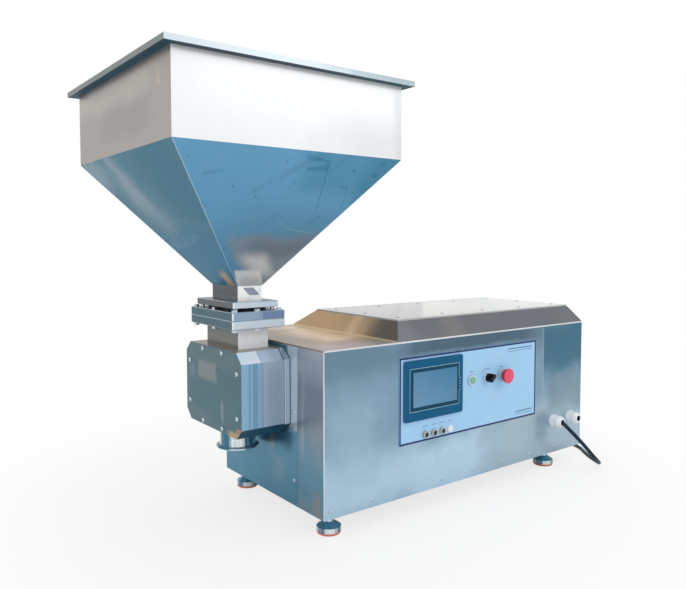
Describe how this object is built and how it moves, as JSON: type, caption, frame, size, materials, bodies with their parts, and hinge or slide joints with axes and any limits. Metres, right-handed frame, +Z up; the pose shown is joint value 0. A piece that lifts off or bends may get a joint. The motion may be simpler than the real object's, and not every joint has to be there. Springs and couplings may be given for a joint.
{
  "type": "paste filling machine",
  "caption": "Bench paste filling machine: square hopper over a turning valve, screw-driven piston in a stainless housing, control panel, clamped outlet.",
  "frame": {"origin": "on the floor, under the middle of the machine without its cord", "axes": "+X from the hopper and valve to the far end of the housing, +Y from the control panel to the back, +Z up"},
  "size_m": [1.4731, 0.7437, 1.053],
  "materials": {
    "sheet_steel": "fine brushed, satin",
    "tray_steel": "mill finish sheet",
    "hopper_steel": "satin sheet with handling marks",
    "machined_steel": "machined and blasted",
    "screws": "turned, bright",
    "foot_steel": "turned",
    "clear_lid": "clear acrylic sheet, polished",
    "black_rubber": "matt rubber",
    "plug_plastic": "moulded",
    "valve_steel": "ground",
    "gear_steel": "hobbed teeth",
    "ground_steel": "ground and polished",
    "aluminium_plate": "machined",
    "seal_white": "PTFE",
    "motor_black": "satin black",
    "panel_devices": "moulded",
    "panel_blue": "satin printed film, dark border",
    "hmi_plastic": "fine texture",
    "screen": "touch screen film",
    "chrome_ring": "polished",
    "green_cap": "moulded",
    "black_knob": "moulded",
    "red_head": "moulded",
    "collar_grey": "moulded",
    "socket_nickel": "nickel plated",
    "socket_dark": "moulded",
    "white_nylon": "moulded nylon"
  },
  "bodies": {
    "base": {"base_tray": "tray_steel", "end_plate": "sheet_steel", "front_panel": "sheet_steel", "rear_panel": "sheet_steel", "right_end_panel": "sheet_steel", "deck_plate": "sheet_steel", "top_hood": "sheet_steel", "lid": "clear_lid", "lid_screws": "screws", "housing_screws": "screws", "control_panel": "panel_blue", "hmi_unit": "hmi_plastic", "hmi_screen": "screen", "button_bezels": "chrome_ring", "estop_collar": "collar_grey", "contact_blocks": "panel_devices", "socket_shells": "socket_nickel", "socket_inserts": "socket_dark", "gland_power": "white_nylon", "gland_spare": "white_nylon", "power_cord": "black_rubber", "power_cord_coil": "black_rubber", "power_plug": "plug_plastic", "hopper_bin": "hopper_steel", "hopper_cone": "hopper_steel", "hopper_base_plate": "machined_steel", "hopper_seal": "black_rubber", "flange_upper": "machined_steel", "flange_lower": "machined_steel", "flange_bolts": "screws", "valve_neck": "machined_steel", "valve_body": "machined_steel", "valve_cover": "machined_steel", "cover_screws": "screws", "outlet_ferrule": "machined_steel", "product_cylinder": "valve_steel", "cylinder_brackets": "aluminium_plate", "guide_rods": "ground_steel", "motor_bracket": "aluminium_plate", "servo_motor": "motor_black", "valve_gearmotor": "motor_black", "electrical_panel": "panel_devices"},
    "piston_carriage": {"piston": "valve_steel", "piston_seals": "seal_white", "thrust_tube": "ground_steel", "carriage": "aluminium_plate", "ball_nut": "ground_steel"},
    "screw_shaft": {"ball_screw": "ground_steel", "shaft_coupling": "aluminium_plate"},
    "valve_rotor": {"valve_drum": "valve_steel", "ring_gear": "gear_steel"},
    "pinion": {"valve_pinion": "gear_steel"},
    "start_cap": {"start_button": "green_cap"},
    "selector": {"selector_knob": "black_knob"},
    "estop_stem": {"estop_plunger": "black_knob"},
    "estop_mushroom": {"estop_head": "red_head"},
    "foot_fl": {"foot_front_left": "foot_steel"},
    "foot_fr": {"foot_front_right": "foot_steel"},
    "foot_bl": {"foot_back_left": "foot_steel"},
    "foot_br": {"foot_back_right": "foot_steel"}
  },
  "joints": [
    {"name": "piston_slide", "type": "slide", "parent": "base", "child": "piston_carriage", "axis": [1, 0, 0], "range_m": [0, 0.2]},
    {"name": "screw_spin", "type": "hinge", "parent": "base", "child": "screw_shaft", "pos_m": [0.19455, 0.0055, 0.32], "axis": [1, 0, 0], "range_deg": [0, 3600]},
    {"name": "valve_turn", "type": "hinge", "parent": "base", "child": "valve_rotor", "pos_m": [-0.30545, 0.0055, 0.32], "axis": [1, 0, 0], "range_deg": [0, 180]},
    {"name": "pinion_spin", "type": "hinge", "parent": "base", "child": "pinion", "pos_m": [-0.27445, 0.0055, 0.212], "axis": [1, 0, 0], "range_deg": [-540, 0]},
    {"name": "start_press", "type": "slide", "parent": "base", "child": "start_cap", "axis": [0, 1, 0], "range_m": [0, 0.003], "stiffness_N_per_m": 400, "springref_m": -0.001},
    {"name": "selector_turn", "type": "hinge", "parent": "base", "child": "selector", "pos_m": [0.23455, -0.2905, 0.3105], "axis": [0, 1, 0], "range_deg": [-90, 0]},
    {"name": "estop_press", "type": "slide", "parent": "base", "child": "estop_stem", "axis": [0, 1, 0], "range_m": [0, 0.004]},
    {"name": "estop_twist", "type": "hinge", "parent": "estop_stem", "child": "estop_mushroom", "pos_m": [0.29555, -0.3005, 0.3105], "axis": [0, 1, 0], "range_deg": [0, 45], "stiffness_Nm_per_rad": 0.05},
    {"name": "foot_fl_turn", "type": "hinge", "parent": "base", "child": "foot_fl", "pos_m": [-0.26245, -0.2395, 0.048], "axis": [0, 0, 1], "continuous": true},
    {"name": "foot_fr_turn", "type": "hinge", "parent": "base", "child": "foot_fr", "pos_m": [0.54555, -0.2395, 0.048], "axis": [0, 0, 1], "continuous": true},
    {"name": "foot_bl_turn", "type": "hinge", "parent": "base", "child": "foot_bl", "pos_m": [-0.26245, 0.1445, 0.048], "axis": [0, 0, 1], "continuous": true},
    {"name": "foot_br_turn", "type": "hinge", "parent": "base", "child": "foot_br", "pos_m": [0.54555, 0.1445, 0.048], "axis": [0, 0, 1], "continuous": true}
  ],
  "couplings": [
    {"joint": "screw_spin", "follows": "piston_slide", "rad_per_m": 314.16},
    {"joint": "pinion_spin", "follows": "valve_turn", "ratio": -3}
  ]
}
